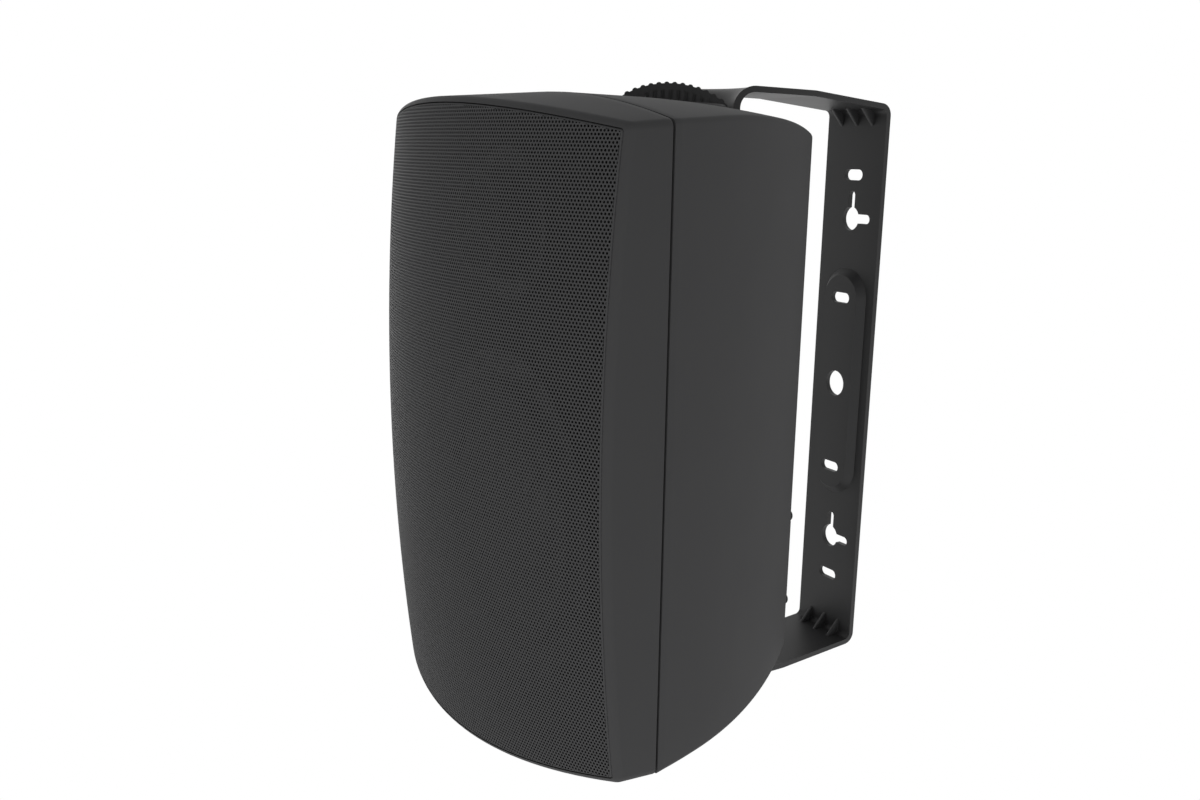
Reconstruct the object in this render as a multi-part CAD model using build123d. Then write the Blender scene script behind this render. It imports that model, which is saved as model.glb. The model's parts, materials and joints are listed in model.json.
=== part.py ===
from build123d import *
import os
from math import asin, cos, degrees, pi, radians, sin, sqrt, tan

# Outdoor patio speaker on a swivelling steel wall bracket. Millimetres, +Z up.
# The front faces -Y. The origin is the middle of the bracket plate's wall face.

# Wall bracket: one folded and stamped strip of steel
sheet = 3.0
plate_width = 47.0
arm_rise = 8.5                 # arm's level stretch, outer face above the cabinet's top
corner_drop = 4.5              # the arm's outer face falls by this towards the plate
arm_bend_setback = 55.0        # where the arm turns level
corner_bend_radius = 6.5
arm_bend_radius = 12.0
dish_radius = 32.5             # round step that the clamp knob sits in
dish_depth = 14.5              # knob side of the step's floor below the arm's outer face
dish_lip_radius = 11.0
dish_root_radius = 3.0
pad_width = 35.0               # long pad pressed forward in the plate
pad_length = 136.0
pad_rise = 4.0
slot_length = 15.0
slot_width = 6.0
outer_slot_height = 121.0
pad_slot_height = 51.0
centre_hole_dia = 15.0
keyhole_dia = 13.5
keyhole_neck = 5.2
keyhole_reach = 13.0
keyhole_spacing = 24.5         # from the outer slot to the keyhole's middle
gusset_spacing = 12.4
gusset_radius = 4.0
gusset_leg = 11.5

# Cabinet: distances are measured from the wall
pivot_setback = 131.0
seam_setback = 207.0
front_setback = 266.5          # foremost line of the front
back_setback = 58.4
seam_width = 228.0
front_width = 241.5            # carried forward to the foremost line
seam_height = 310.0
front_drop = 4.5               # how far the bezel's top falls towards the front
crown_radius = 467.0
front_radius = 265.0
front_bulge_radius = 1245.0
side_radius = 500.0
side_angle = 20.0
back_corner_radius = 30.0
top_flat_setback = 158.0       # where the top begins to fall away to the back
top_fall_radius = 286.0
edge_radius = 5.0
rim_radius = 3.0
seam_gap = 1.0
wall = 3.5
rim = 2.4
ledge = 3.0

# Front grille: perforated steel with a turned-back lip
grille_sheet = 1.0
grille_recess = 0.6
grille_clearance = 0.4
grille_lip = 8.0
grille_hole = 11.0
grille_pitch = 23.0
grille_margin = 10.0

# Baffle, drivers and their screws
baffle_setback = 218.0
baffle_thickness = 6.0
woofer_lift = 107.0            # woofer's axis above the cabinet's foot
woofer_radius = 83.0
woofer_cutout = 72.0
woofer_depth = 78.0
woofer_flange = 4.0
woofer_gasket_thickness = 1.5
cone_radius = 57.0
coil_radius = 13.0
surround_width = 12.0
cone_depth = 30.0
cone_sheet = 1.0
magnet_radius = 44.0
magnet_height = 15.0
plate_height = 5.0
tweeter_drop = 60.0            # tweeter's axis below the cabinet's top
tweeter_radius = 37.0
tweeter_cutout = 27.0
tweeter_dome = 13.0
tweeter_rise = 16.0
driver_screw_shank = 1.6
driver_screw_length = 9.0
woofer_screws = 8
tweeter_screws = 4

# Fixings between bezel and housing
case_screw_inset = 15.0
case_screw_drop = 35.0         # outer screws, from the cabinet's top and foot
case_screw_height = 45.0       # inner screws, from the middle
case_screw_shank = 2.0
case_boss_radius = 6.0
case_boss_depth = 26.0
screw_clearance = 0.1

# Clamp at each end of the swivel axis
thread_dia = 8.0
thread_clearance = 0.05
arm_hole_dia = 8.8
friction_thickness = 2.0
friction_radius = 22.0
washer_thickness = 1.5
washer_radius = 16.0
knob_radius = 29.0
knob_flange = 3.0
knob_arch_radius = 47.0
knob_rise = 14.0               # top of the arch above the step's floor
knob_grip = 13.0
knob_turn = 31.5               # angle of the grip at rest, from the front-to-back line
rib_radius = 1.5
rib_pitch = 3.9
rib_count = 14
insert_radius = 6.0
insert_length = 20.0
pocket_clearance = 2.5

# Terminal cup in the back
cup_height = -95.0             # middle of the cup
cup_width = 34.0
cup_length = 44.0
cup_depth = 16.0
cup_wall = 2.0
cup_flange = 7.0
cup_flange_thickness = 1.5
cup_seat_rise = 1.0
button_width = 9.0
button_length = 13.0
button_stand = 7.0
button_stem = 14.0
button_spacing = 19.0
button_clearance = 0.3
wire_hole_dia = 4.0

# Crossover on posts inside the back
board_height = 30.0
board_width = 62.0
board_length = 84.0
board_thickness = 1.6
board_setback = 84.0
board_post_radius = 4.0
board_screw_inset = 6.0
coil_core_radius = 7.0
coil_outer_radius = 16.0
coil_height = 14.0
capacitor_radius = 6.5
capacitor_length = 24.0
resistor_size = (8.0, 30.0)

# Worked out from the sizes above
top_z = seam_height / 2
arm_height = top_z + arm_rise
corner_height = arm_height - corner_drop
dish_floor = arm_height - dish_depth
knob_arch_top = dish_floor + knob_rise
keyhole_height = outer_slot_height - keyhole_spacing
woofer_height = woofer_lift - top_z
tweeter_height = top_z - tweeter_drop
case_screw_heights = (top_z - case_screw_drop, case_screw_height)
crown_axis_z = top_z - crown_radius
front_axis_y = front_radius - front_setback
baffle_y = -baffle_setback
pocket_floor = dish_floor - sheet - friction_thickness
pocket_radius = dish_radius + sheet + pocket_clearance
pivot = (0, -pivot_setback)

os.makedirs("parts", exist_ok=True)


def save(node, *solids):
    shape = solids[0] if len(solids) == 1 else Compound(children=list(solids))
    export_step(shape, f"parts/{node}.step")


def extrude_along(plane, face, start, end):
    """Extrude a flat sketch drawn on plane between two distances along its normal."""
    return extrude(plane.offset(start) * face, amount=end - start)


def turned(points, at=(0, 0), closed_radius=None):
    """Solid of revolution about a vertical axis from (radius, height) points."""
    face = make_face(Polyline(*points, close=True))
    return Pos(at[0], at[1], 0) * revolve(Plane.XZ * face, Axis.Z)


def driver_turned(points, height):
    """Solid of revolution about a driver's axis from (radius, depth behind the baffle) points."""
    profile = Plane.XY * make_face(Polyline(*points, close=True))
    return Pos(0, baffle_y, height) * revolve(profile, Axis.Y)


def driver_disc(radius, inner, start, end, height):
    return driver_turned([(inner, start), (radius, start), (radius, end), (inner, end)], height)


def front_rod(radius, x, z, start, end):
    """Round rod along Y between two Y values."""
    return Pos(x, start, z) * Rot(-90, 0, 0) * Cylinder(
        radius, end - start, align=(Align.CENTER, Align.CENTER, Align.MIN))


def pan_screw(x, z, seat_y, shank, length):
    """Pan-head screw driven towards +Y with its head on seat_y."""
    head = front_rod(2.0 * shank, x, z, seat_y - 1.3 * shank, seat_y)
    head = fillet(head.edges().sort_by(Axis.Y)[:1], 0.8 * shank)
    return head + front_rod(shank, x, z, seat_y - 0.2, seat_y + length)


def mirror_down(solid):
    return mirror(solid, Plane.XY)


# Cabinet forms

def crown(profile):
    """Lens-shaped envelope: a side profile turned about the crown axis, above and below."""
    upper = revolve(Plane.YZ * profile, Axis((0, 0, crown_axis_z), (0, 1, 0)))
    return upper & mirror_down(upper)


def housing_form(inset):
    """Rear housing body, or the same body drawn in by inset and open at the seam."""
    half_seam = seam_width / 2
    end_angle = asin(sin(radians(side_angle)) + (seam_setback - back_setback) / side_radius)
    middle_angle = (radians(side_angle) + end_angle) / 2

    def side_point(angle):
        return (half_seam - side_radius * (cos(radians(side_angle)) - cos(angle)),
                -seam_setback + side_radius * (sin(angle) - sin(radians(side_angle))))

    right = [side_point(angle) for angle in (radians(side_angle), middle_angle, end_angle)]
    left = [(-x, y) for x, y in right]
    plan = make_face([
        Line(left[0], right[0]), ThreePointArc(*right),
        Line(right[2], left[2]), ThreePointArc(*left[::-1])])
    plan = fillet(plan.vertices().group_by(Axis.Y)[-1], back_corner_radius)
    if inset:
        plan = offset(plan, amount=-inset)
        mouth = plan.vertices().group_by(Axis.Y)[0].sort_by(Axis.X)[-1]
        plan += Pos(0, mouth.Y) * Rectangle(2 * mouth.X, 4 * inset)
    fall_y = -back_setback - inset
    fall_centre = top_z - top_fall_radius
    fall = top_fall_radius - inset

    def fall_point(y):
        return (y, fall_centre + sqrt(fall ** 2 - (y + top_flat_setback) ** 2))

    start = (-seam_setback - 4 * wall, top_z - inset)
    flat = (-top_flat_setback, top_z - inset)
    foot = (start[0], crown_axis_z)
    profile = make_face([
        Line(foot, start), Line(start, flat),
        ThreePointArc(flat, fall_point((fall_y - top_flat_setback) / 2), fall_point(fall_y)),
        Line(fall_point(fall_y), (fall_y, crown_axis_z)), Line((fall_y, crown_axis_z), foot)])
    return extrude(plan, amount=seam_height, both=True) & crown(profile)


def barrel(inset):
    """Solid whose surface is the convex front, drawn in by inset."""
    reach = seam_height
    edge = front_radius - front_bulge_radius + sqrt((front_bulge_radius - inset) ** 2 - reach ** 2)
    profile = make_face([
        ThreePointArc((edge, -reach), (front_radius - inset, 0), (edge, reach)),
        Polyline((edge, reach), (0, reach), (0, -reach), (edge, -reach))])
    return Pos(0, front_axis_y, 0) * revolve(Plane.XZ * profile, Axis.Z)


def bezel_form(inset):
    """Tapered sleeve between the seam and the front, drawn in by inset and open at both ends."""
    slope = (front_width - seam_width) / 2 / (front_setback - seam_setback)
    fall = front_drop / (front_setback - seam_setback)
    back, front = -seam_setback + 2 * wall, -front_setback - 2 * wall

    def half_width(y):
        return seam_width / 2 - slope * (y + seam_setback) - inset

    def top(y):
        return top_z + fall * (y + seam_setback) - inset

    plan = make_face(Polyline(
        (half_width(back), back), (half_width(front), front),
        (-half_width(front), front), (-half_width(back), back), close=True))
    profile = make_face(Polyline(
        (back, top(back)), (front, top(front)),
        (front, crown_axis_z), (back, crown_axis_z), close=True))
    return extrude(plan, amount=seam_height, both=True) & crown(profile)


def slab(start, end):
    """Wide slab between two Y values."""
    return Pos(0, (start + end) / 2, 0) * Box(2 * front_width, end - start, 2 * seam_height)


def seam_ring(outer, inner, start, end):
    """Ring of the seam's outline between two insets."""
    def outline(inset):
        lens = Pos(0, crown_axis_z) * Circle(crown_radius - inset)
        lens &= Pos(0, -crown_axis_z) * Circle(crown_radius - inset)
        lens &= Rectangle(seam_width - 2 * inset, 2 * seam_height)
        return fillet(lens.vertices(), max(edge_radius - inset, 0.5))
    face = Plane.XZ * (outline(outer) - outline(inner))
    return extrude(Pos(0, start, 0) * face, amount=start - end)


case_screw_x = seam_width / 2 - case_screw_inset
case_screw_places = [(sx * case_screw_x, sz * z) for z in case_screw_heights
                     for sx in (-1, 1) for sz in (-1, 1)]
housing_front = -seam_setback + seam_gap / 2
bezel_back = -seam_setback - seam_gap / 2
board_screw_places = [
    (sx * (board_width / 2 - board_screw_inset), board_height + sz * (board_length / 2 - board_screw_inset))
    for sx in (-1, 1) for sz in (-1, 1)]
cup_seat_y = -back_setback + cup_seat_rise


def make_bracket():
    reach = pivot_setback + dish_radius
    slope = (arm_height - corner_height) / arm_bend_setback
    outline = make_face(Polyline(
        (0, corner_height), (-arm_bend_setback, arm_height), (-reach, arm_height),
        (-reach, -arm_height), (-arm_bend_setback, -arm_height), (0, -corner_height), close=True))
    corners = outline.vertices().group_by(Axis.X)
    outline = fillet(corners[-1], corner_bend_radius)
    outline = fillet(outline.vertices().filter_by(lambda v: abs(v.X + arm_bend_setback) < 0.1),
                     arm_bend_radius)
    strip = outline - offset(outline, amount=-sheet)
    strap = extrude(Plane.YZ * strip, amount=plate_width / 2, both=True)
    rim_radius_out = dish_radius + dish_lip_radius + sheet
    strap -= Pos(*pivot, 0) * Cylinder(rim_radius_out, 3 * arm_height)
    strap -= slab(-reach - 1, -pivot_setback)

    # Round step and rounded tongue at each end of the strip
    low, high = dish_floor - sheet, arm_height - sheet
    step = make_face(Polyline(
        (arm_hole_dia / 2, low), (dish_radius + sheet, low), (dish_radius + sheet, high),
        (rim_radius_out, high), (rim_radius_out, arm_height), (dish_radius, arm_height),
        (dish_radius, dish_floor), (arm_hole_dia / 2, dish_floor), close=True))

    def bend(face, x, y, radius):
        return fillet(face.vertices().sort_by_distance((x, y))[:1], radius)

    step = bend(step, dish_radius, arm_height, dish_lip_radius)
    step = bend(step, dish_radius + sheet, high, dish_lip_radius - sheet)
    step = bend(step, dish_radius, dish_floor, dish_root_radius)
    step = bend(step, dish_radius + sheet, low, dish_root_radius + sheet)
    dish = Pos(*pivot, 0) * revolve(Plane.XZ * step, Axis.Z)
    tongue = Pos(*pivot, 0) * Cylinder(plate_width / 2, 3 * arm_height)
    tongue += Pos(0, -pivot_setback + reach / 2, 0) * Box(plate_width, reach, 3 * arm_height)
    dish &= tongue
    bracket = strap + dish + mirror_down(dish)

    # Darts pressed into both inside corners
    for x in (-gusset_spacing, 0, gusset_spacing):
        top = (x, -sheet - gusset_leg, corner_height + slope * (sheet + gusset_leg) - sheet)
        foot = (x, -sheet, corner_height - sheet - gusset_leg)
        line = Line(foot, top)
        dart = sweep(Plane(origin=foot, z_dir=line % 0) * Circle(gusset_radius), line)
        dart &= Pos(x, -sheet - gusset_leg / 2, corner_height - sheet - gusset_leg / 2) * Box(
            2 * gusset_radius, gusset_leg + sheet, gusset_leg + sheet)
        bracket += dart + mirror_down(dart)

    # Long pad pressed forward, hollow behind
    wall_plane = Plane.XZ
    pad = SlotOverall(pad_length, pad_width, rotation=90)
    hollow_draw = sheet * (sqrt(2) - 1)
    hollow = SlotOverall(pad_length - 2 * hollow_draw, pad_width - 2 * hollow_draw, rotation=90)
    bracket += extrude(wall_plane.offset(sheet) * pad, amount=pad_rise, taper=45)
    bracket -= extrude(wall_plane * hollow, amount=pad_rise, taper=45)

    # Screw slots, centre hole and keyholes
    cuts = Circle(centre_hole_dia / 2)
    for z in (outer_slot_height, pad_slot_height, -pad_slot_height, -outer_slot_height):
        cuts += Pos(0, z) * SlotOverall(slot_length, slot_width)
    for z in (keyhole_height, -keyhole_height):
        neck = Circle(keyhole_dia / 2)
        neck += Pos(0, keyhole_reach / 2) * SlotOverall(keyhole_reach + keyhole_neck, keyhole_neck, rotation=90)
        neck += Pos(keyhole_reach / 2, 0) * SlotOverall(keyhole_reach + keyhole_neck, keyhole_neck)
        cuts += Pos(0, z) * neck
    return bracket - extrude_along(wall_plane, cuts, -sheet, 3 * pad_rise)


def make_rear_housing():
    outer = housing_form(0)
    side_edges = outer.edges().filter_by(
        lambda e: abs(e.center().Z) > top_z / 2 and abs(e.center().Y + seam_setback) > 1
        and not (abs(e.center().X) < 1 and e.center().Y < -back_setback - 1))
    outer = fillet(side_edges, edge_radius)
    shell = outer - housing_form(wall)

    # Pockets for the clamps, with blind bosses for the threaded inserts
    boss_bottom = pocket_floor - insert_length - wall
    pocket = turned([
        (0, boss_bottom), (insert_radius + wall, boss_bottom), (insert_radius + wall, pocket_floor - wall),
        (pocket_radius + wall, pocket_floor - wall), (pocket_radius + wall, top_z), (0, top_z)], pivot)
    bore = turned([
        (0, pocket_floor - insert_length), (insert_radius, pocket_floor - insert_length),
        (insert_radius, pocket_floor), (pocket_radius, pocket_floor), (pocket_radius, 2 * top_z), (0, 2 * top_z)],
        pivot)
    shell += (pocket + mirror_down(pocket)) & outer
    shell -= bore + mirror_down(bore)

    # Flat seat and opening for the terminal cup
    seat_width, seat_length = cup_width + 2 * cup_flange, cup_length + 2 * cup_flange
    seat = Box(seat_width, driver_screw_length + 2, seat_length, align=(Align.CENTER, Align.MAX, Align.CENTER))
    opening = Box(cup_width, 4 * cup_depth, cup_length)
    shell += Pos(0, cup_seat_y, cup_height) * fillet(seat.edges().filter_by(Axis.Y), cup_flange)
    shell -= Pos(0, cup_seat_y, cup_height) * opening

    # Bosses for the case screws and posts for the crossover
    bosses = [front_rod(case_boss_radius, x, z, -seam_setback, -seam_setback + case_boss_depth)
              for x, z in case_screw_places]
    posts = [front_rod(board_post_radius, x, z, -board_setback + board_thickness, -back_setback)
             for x, z in board_screw_places]
    shell += (Part() + bosses + posts) & outer
    shell -= [front_rod(case_screw_shank + screw_clearance, x, z, -seam_setback, -seam_setback + case_boss_depth - wall)
              for x, z in case_screw_places]
    shell -= [front_rod(driver_screw_shank + screw_clearance, x, z,
                        -board_setback, -board_setback + board_thickness + driver_screw_length)
              for x, z in board_screw_places]
    shell -= [front_rod(driver_screw_shank + screw_clearance, x, z, cup_seat_y - driver_screw_length, cup_seat_y + 1)
              for x, z in cup_screw_places]
    return shell & slab(housing_front, 0)


def woofer_places(radius):
    return [(radius * cos(radians(a)), woofer_height + radius * sin(radians(a)))
            for a in (360 / woofer_screws * (i + 0.5) for i in range(woofer_screws))]


def tweeter_places(radius):
    return [(radius * cos(radians(a)), tweeter_height + radius * sin(radians(a)))
            for a in (360 / tweeter_screws * (i + 0.5) for i in range(tweeter_screws))]


woofer_bolt_radius = (woofer_radius + woofer_cutout) / 2
tweeter_bolt_radius = (tweeter_radius + tweeter_cutout) / 2 + 1
cup_screw_places = [(sx * (cup_width + cup_flange) / 2, cup_height + sz * (cup_length + cup_flange) / 2)
                    for sx in (-1, 1) for sz in (-1, 1)]


def make_front_bezel():
    body = bezel_form(0)
    long_edges = body.edges().filter_by(
        lambda e: abs(e.center().X) > seam_width / 4 and abs(e.center().Z) > top_z / 2
        and e.length < 2 * (front_setback - seam_setback))
    body = fillet(long_edges, edge_radius) & barrel(0)
    body &= slab(-2 * front_setback, bezel_back)
    body = fillet([e for e in body.edges() if on_front(e)], rim_radius)
    opening = bezel_form(rim)
    seat = bezel_form(rim + ledge)
    grille_back = grille_recess + grille_sheet + grille_lip
    ring = body - opening
    ring += (opening - seat) & barrel(grille_back) & slab(-2 * front_setback, bezel_back)
    baffle = opening & slab(baffle_y, baffle_y + baffle_thickness)
    stand_offs = [front_rod(case_boss_radius, x, z, baffle_y, bezel_back) for x, z in case_screw_places]
    solid = ring + baffle + stand_offs
    solid -= front_rod(woofer_cutout, 0, woofer_height, baffle_y - 1, bezel_back + 1)
    solid -= front_rod(tweeter_cutout, 0, tweeter_height, baffle_y - 1, bezel_back + 1)
    solid -= [front_rod(case_screw_shank + screw_clearance, x, z, baffle_y - 1, bezel_back + 1)
              for x, z in case_screw_places]
    pilots = woofer_places(woofer_bolt_radius) + tweeter_places(tweeter_bolt_radius)
    solid -= [front_rod(driver_screw_shank + screw_clearance, x, z, baffle_y - 1, baffle_y + baffle_thickness + 1)
              for x, z in pilots]
    return solid


def on_front(edge):
    """True for an edge that lies on the convex front's surface."""
    def error(point):
        radius = sqrt(point.X ** 2 + (point.Y - front_axis_y) ** 2)
        return abs(radius - front_radius + front_bulge_radius
                   - sqrt(front_bulge_radius ** 2 - point.Z ** 2))
    return all(error(edge @ t) < 0.01 for t in (0, 0.5, 1))


def make_front_grille():
    inset = rim + grille_clearance
    outline = bezel_form(inset)
    inner = bezel_form(inset + grille_sheet)
    face, back = barrel(grille_recess), barrel(grille_recess + grille_sheet)
    lip_end = barrel(grille_recess + grille_sheet + grille_lip - grille_clearance)
    front = slab(-2 * front_setback, baffle_y)
    skin = outline & (face - back) & front
    lip = (outline - inner) & (back - lip_end) & front
    half_width = front_width / 2 - inset - grille_margin
    rows = int((seam_height / 2 - grille_margin) / (grille_pitch * sqrt(3) / 2))
    holes = []
    for row in range(-rows, rows + 1):
        z = row * grille_pitch * sqrt(3) / 2
        shift = grille_pitch / 2 if row % 2 else 0
        for column in range(-20, 20):
            x = column * grille_pitch + shift
            limit = top_z - front_drop - crown_radius + sqrt(crown_radius ** 2 - x ** 2) - inset - grille_margin
            if abs(x) <= half_width - grille_hole / 2 and abs(z) <= limit - grille_hole / 2:
                holes.append(Pos(x, z) * RegularPolygon(grille_hole / 2, 6))
    cutter = extrude_along(Plane.XZ, Sketch() + holes, seam_setback, 2 * front_setback)
    return skin + lip - cutter


def make_knob():
    """Clamp knob above the upper arm: round flange with an arched, ribbed grip across it."""
    seat = dish_floor + washer_thickness
    flange = turned([(0, seat), (knob_radius, seat), (knob_radius, seat + knob_flange - 1),
                     (knob_radius - 1, seat + knob_flange), (0, seat + knob_flange)])
    arch_centre = knob_arch_top - knob_arch_radius
    base = seat + knob_flange / 2
    half_base = min(sqrt(knob_arch_radius ** 2 - (base - arch_centre) ** 2), knob_radius - 0.5)
    shoulder = arch_centre + sqrt(knob_arch_radius ** 2 - half_base ** 2)
    arch = make_face([
        ThreePointArc((half_base, shoulder), (0, knob_arch_top), (-half_base, shoulder)),
        Polyline((-half_base, shoulder), (-half_base, base), (half_base, base), (half_base, shoulder))])
    ribs = []
    for i in range(rib_count):
        x = (i - (rib_count - 1) / 2) * rib_pitch
        height = arch_centre + sqrt(knob_arch_radius ** 2 - x ** 2)
        arch += Pos(x, height - rib_radius / 2) * Circle(rib_radius)
        for side in (-1, 1):
            ribs.append(Pos(x, side * knob_grip / 2, base) * Cylinder(
                rib_radius, height - 2 * rib_radius - base, align=(Align.CENTER, Align.CENTER, Align.MIN)))
    grip = extrude(Plane.XZ * arch, amount=knob_grip / 2, both=True)
    knob = flange + grip + [rib for rib in ribs]
    knob -= Pos(0, 0, seat) * Cylinder(
        thread_dia / 2, 2 * knob_flange, align=(Align.CENTER, Align.CENTER, Align.CENTER))
    return Pos(*pivot, 0) * Rot(0, 0, 90 - knob_turn) * knob


def make_clamp():
    """Pieces of the upper clamp, from the knob down to the threaded insert."""
    seat = dish_floor + washer_thickness
    radius = thread_dia / 2
    bore = radius + thread_clearance
    stud_end = pocket_floor - 0.8 * insert_length
    return {
        "knob": make_knob(),
        "stud": turned([(0, stud_end), (radius - 1, stud_end), (radius, stud_end + 1),
                        (radius, seat + knob_flange), (0, seat + knob_flange)], pivot),
        "washer": turned([(arm_hole_dia / 2, dish_floor), (washer_radius, dish_floor),
                          (washer_radius, seat), (arm_hole_dia / 2, seat)], pivot),
        "friction_pad": turned([(arm_hole_dia / 2, pocket_floor), (friction_radius, pocket_floor),
                                (friction_radius, pocket_floor + friction_thickness),
                                (arm_hole_dia / 2, pocket_floor + friction_thickness)], pivot),
        "thread_insert": turned([(bore, pocket_floor - insert_length), (insert_radius, pocket_floor - insert_length),
                                 (insert_radius, pocket_floor), (bore, pocket_floor)], pivot),
    }


def dome_arcs(radius, rise, inner_radius, foot, skin, edge):
    """Outline of a thin dome turned about a driver's axis: two arcs joined by the edge's points."""
    ball = (radius ** 2 + rise ** 2) / (2 * rise)
    centre = foot - rise + ball

    def on_ball(size, at):
        return (at, centre - sqrt(size ** 2 - at ** 2))

    thin = ball - skin
    inner_end = on_ball(thin, inner_radius)
    return [
        ThreePointArc((0, foot - rise), on_ball(ball, radius / 2), (radius, foot)),
        Polyline(*edge, inner_end),
        ThreePointArc(inner_end, on_ball(thin, inner_radius / 2), (0, foot - rise + skin)),
        Line((0, foot - rise + skin), (0, foot - rise))]


def make_woofer():
    flange_back = -woofer_gasket_thickness
    flange_front = flange_back - woofer_flange
    inner = cone_radius + surround_width
    basket_end = woofer_depth - 2 * plate_height - magnet_height
    web = 2.5
    spider_seat = 0.55 * woofer_depth
    pole = coil_radius - 0.8
    bolts = woofer_places(woofer_bolt_radius)
    z = woofer_height

    def wall_radius(depth):
        start, end = woofer_cutout - 0.6, magnet_radius + web
        return start + (end - start) * (depth - flange_back) / (basket_end - flange_back)

    frame = driver_turned([
        (inner, flange_front), (woofer_radius, flange_front), (woofer_radius, flange_back),
        (wall_radius(flange_back), flange_back), (wall_radius(basket_end), basket_end),
        (coil_radius + 9, basket_end), (coil_radius + 9, basket_end - web),
        (wall_radius(basket_end - web) - web, basket_end - web),
        (wall_radius(spider_seat + web) - web, spider_seat + web),
        (magnet_radius - 3, spider_seat + web), (magnet_radius - 3, spider_seat),
        (wall_radius(spider_seat) - web, spider_seat), (inner, flange_back)], z)
    window_start, window_end = baffle_thickness + 4, spider_seat - 3
    window = Pos(0, baffle_y + (window_start + window_end) / 2, 0) * Box(
        0.55 * woofer_cutout, window_end - window_start, 4 * woofer_radius)
    frame -= [Pos(0, 0, z) * Rot(0, angle, 0) * window for angle in (0, 60, 120)]
    clear = [front_rod(driver_screw_shank + 4 * screw_clearance, x, y, baffle_y + flange_front - 1, baffle_y)
             for x, y in bolts]

    roll = surround_width / 2
    middle = cone_radius + roll
    skin, glue = 0.8, 3.0
    front = flange_front - skin
    surround = make_face([
        Polyline((inner, front), (inner + glue, front), (inner + glue, flange_front), (inner - skin, flange_front)),
        ThreePointArc((inner - skin, flange_front), (middle, flange_front - roll + skin),
                      (cone_radius + skin, flange_front)),
        Polyline((cone_radius + skin, flange_front), (cone_radius - glue, flange_front),
                 (cone_radius - glue, front), (cone_radius, front)),
        ThreePointArc((cone_radius, front), (middle, front - roll), (inner, front))])

    coil_outer = coil_radius + 0.3
    neck = flange_front + cone_depth
    rim_inner = cone_radius - glue

    def cone_front(radius):
        return flange_front + (rim_inner - radius) * cone_depth / (rim_inner - coil_outer)

    cone = [(cone_radius, flange_front), (cone_radius, flange_front + cone_sheet),
            (rim_inner - 0.3, flange_front + cone_sheet), (coil_outer, neck + 1.2 * cone_sheet),
            (coil_outer, neck), (rim_inner, flange_front)]
    cap_radius = coil_radius + 7
    cap_foot = cap_radius - 1.2
    cap = make_face(dome_arcs(cap_radius, 0.4 * cap_radius, cap_foot, cone_front(cap_radius), cone_sheet, [
        (cap_radius, cone_front(cap_radius)), (cap_foot, cone_front(cap_foot))]))

    waves = 6
    ledge_start = magnet_radius - 3
    step = (ledge_start - coil_outer) / waves
    wave = [(coil_outer + i * step, spider_seat - (1.4 if i % 2 else 0)) for i in range(waves)]
    crest = wave + [(ledge_start, spider_seat), (wall_radius(spider_seat) - web - 1, spider_seat)]
    spider = crest + [(radius, depth - 0.8) for radius, depth in crest[::-1]]

    plate_end = basket_end + plate_height
    magnet_end = plate_end + magnet_height
    yoke = [(4, woofer_depth), (magnet_radius - 2, woofer_depth), (magnet_radius - 2, magnet_end),
            (pole, magnet_end), (pole, basket_end), (4, basket_end)]

    def turn(face):
        return Pos(0, baffle_y, z) * revolve(Plane.XY * face, Axis.Y)

    save("woofer_gasket", driver_disc(woofer_radius, woofer_cutout + 0.5, flange_back, 0, z) - clear)
    save("woofer_frame", frame - clear)
    save("woofer_surround", turn(surround))
    save("woofer_cone", driver_turned(cone, z))
    save("woofer_dust_cap", turn(cap))
    save("woofer_voice_coil", driver_disc(coil_outer, coil_radius - 0.2, neck - 1, plate_end + 2, z))
    save("woofer_spider", driver_turned(spider, z))
    save("woofer_top_plate", driver_disc(magnet_radius - 2, coil_radius + 0.9, basket_end, plate_end, z))
    save("woofer_magnet", driver_disc(magnet_radius, coil_radius + 7, plate_end, magnet_end, z))
    save("woofer_yoke", driver_turned(yoke, z))
    save("woofer_screws", *[
        pan_screw(x, y, baffle_y + flange_front, driver_screw_shank, driver_screw_length + 2) for x, y in bolts])


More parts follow.
